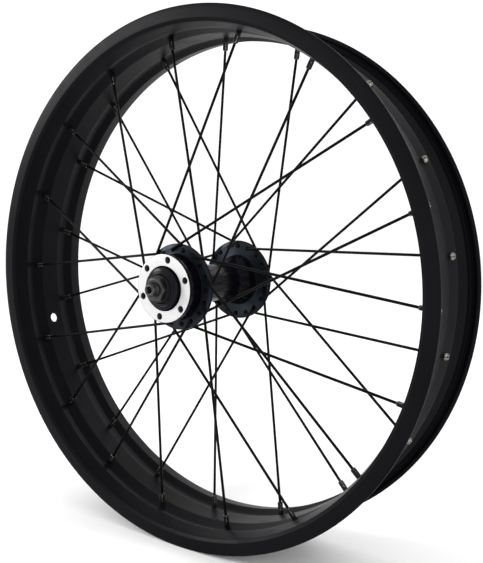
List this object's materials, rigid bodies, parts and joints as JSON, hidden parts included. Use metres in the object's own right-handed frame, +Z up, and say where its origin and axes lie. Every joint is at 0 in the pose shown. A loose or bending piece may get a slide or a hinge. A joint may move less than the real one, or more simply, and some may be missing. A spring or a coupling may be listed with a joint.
{
  "type": "fat bike front wheel",
  "caption": "Spoked fat-tyre bicycle front wheel without its tyre: wide flat-bed rim, crossed J-bend spokes and a disc-brake hub turning on ball bearings round a hollow axle.",
  "frame": {"origin": "centre of the wheel, on the axle's axis and in the rim's middle plane", "axes": "+Y along the axle, from the disc side towards the far side; +Z up; the disc rotor's face points to -Y"},
  "size_m": [0.421, 0.146, 0.421],
  "materials": {
    "rim_black": "satin black anodised",
    "spoke_black": "satin black",
    "nipple_black": "blackened, worn at the edges",
    "hub_black": "glossy black anodised with a bare machined rotor face",
    "axle_steel": "zinc plated",
    "race_steel": "ground",
    "ball_steel": "polished",
    "retainer_steel": "pressed",
    "cap_black": "gloss black",
    "boot_rubber": "matt",
    "nut_black": "black zinc"
  },
  "bodies": {
    "axle_assembly": {"axle": "axle_steel", "bearing_cone_disc": "race_steel", "bearing_cone_far": "race_steel", "locknut_disc": "nut_black", "locknut_far": "nut_black", "seal_boot_disc": "boot_rubber", "seal_boot_far": "boot_rubber", "washer_disc": "nut_black", "washer_far": "nut_black"},
    "wheel": {"bearing_cup_disc": "race_steel", "bearing_cup_far": "race_steel", "dust_cap_disc": "cap_black", "dust_cap_far": "cap_black", "hub_shell": "hub_black", "nipples_disc": "nipple_black", "nipples_far": "nipple_black", "rim": "rim_black", "spokes_disc_inner": "spoke_black", "spokes_disc_outer": "spoke_black", "spokes_far_inner": "spoke_black", "spokes_far_outer": "spoke_black"},
    "ball_ring_disc": {"bearing_balls_disc": "ball_steel", "ball_retainer_disc": "retainer_steel"},
    "ball_ring_far": {"bearing_balls_far": "ball_steel", "ball_retainer_far": "retainer_steel"}
  },
  "joints": [
    {"name": "wheel_spin", "type": "hinge", "parent": "axle_assembly", "child": "wheel", "pos_m": [0, 0, 0], "axis": [0, 1, 0], "continuous": true},
    {"name": "ball_ring_disc_spin", "type": "hinge", "parent": "axle_assembly", "child": "ball_ring_disc", "pos_m": [0, -0.05, 0], "axis": [0, 1, 0], "continuous": true},
    {"name": "ball_ring_far_spin", "type": "hinge", "parent": "axle_assembly", "child": "ball_ring_far", "pos_m": [0, 0.046, 0], "axis": [0, 1, 0], "continuous": true}
  ],
  "couplings": [
    {"joint": "ball_ring_disc_spin", "follows": "wheel_spin", "ratio": 0.6134},
    {"joint": "ball_ring_far_spin", "follows": "wheel_spin", "ratio": 0.6134}
  ]
}
